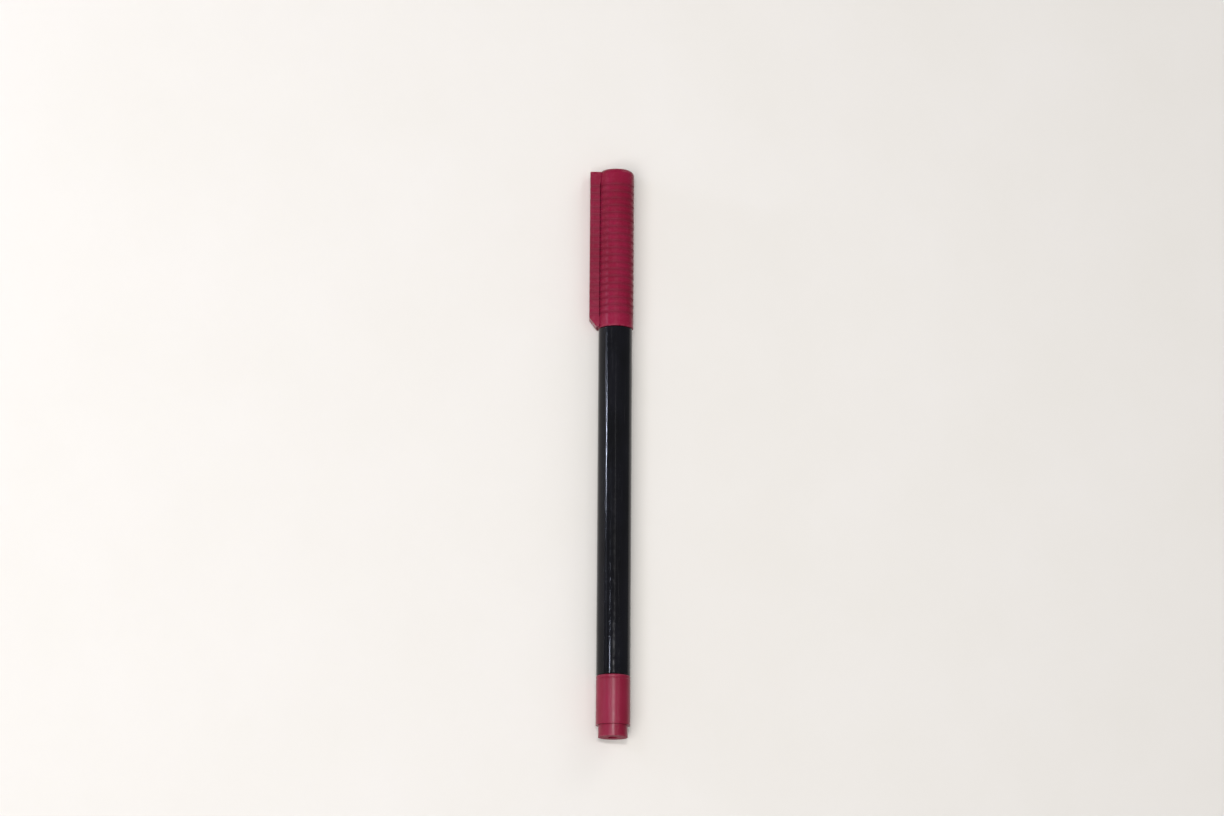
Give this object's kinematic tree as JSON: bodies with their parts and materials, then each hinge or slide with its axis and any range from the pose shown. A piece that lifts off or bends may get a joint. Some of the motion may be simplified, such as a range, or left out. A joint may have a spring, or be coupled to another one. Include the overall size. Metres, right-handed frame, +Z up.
{
  "type": "double-ended calligraphy marker",
  "caption": "Slim round marker with a soft brush tip under a long ribbed crimson cap with a pocket clip, a black barrel, and a hard fine tip under a short stepped crimson cap.",
  "frame": {"origin": "on the pen's axis, halfway along the bare barrel", "axes": "+X along the pen's axis towards the brush tip and the crown of its cap, +Z up as the capped pen lies on a table, on its brush cap and the lower long edge of its clip, with the clip on the +Y side"},
  "size_m": [0.167, 0.0131, 0.0104],
  "materials": {
    "barrel_black": "glossy, injection moulded",
    "section_black": "satin, injection moulded",
    "brush_fibre": "bonded fibre, soaked with crimson ink",
    "natural_plastic": "natural polyethylene",
    "reservoir_fibre": "polyester wadding, soaked with ink",
    "film_clear": "clear film",
    "ferrule_steel": "drawn stainless tube",
    "fine_fibre": "hard bonded fibre, inked",
    "cap_crimson": "satin, injection moulded",
    "clip_crimson": "satin, injection moulded",
    "fine_cap_crimson": "glossy, injection moulded"
  },
  "bodies": {
    "pen_body": {"barrel": "barrel_black", "brush_section": "section_black", "brush_nib": "brush_fibre", "brush_nib_retainer": "natural_plastic", "reservoir_core": "reservoir_fibre", "reservoir_film": "film_clear", "fine_section": "section_black", "fine_nib_ferrule": "ferrule_steel", "fine_nib": "fine_fibre"},
    "long_cap": {"brush_cap": "cap_crimson", "brush_cap_liner": "natural_plastic"},
    "clip": {"pocket_clip": "clip_crimson"},
    "short_cap": {"fine_cap": "fine_cap_crimson", "fine_cap_liner": "natural_plastic"}
  },
  "joints": [
    {"name": "brush_cap_pull", "type": "slide", "parent": "pen_body", "child": "long_cap", "axis": [1, 0, 0], "range_m": [0, 0.048]},
    {"name": "fine_cap_pull", "type": "slide", "parent": "pen_body", "child": "short_cap", "axis": [-1, 0, 0], "range_m": [0, 0.02]},
    {"name": "clip_flex", "type": "hinge", "parent": "long_cap", "child": "clip", "pos_m": [0.0975, 0.00471, -0.00196], "axis": [0, -0.3834, -0.9236], "range_deg": [0, 3.5], "stiffness_Nm_per_rad": 1.5}
  ]
}
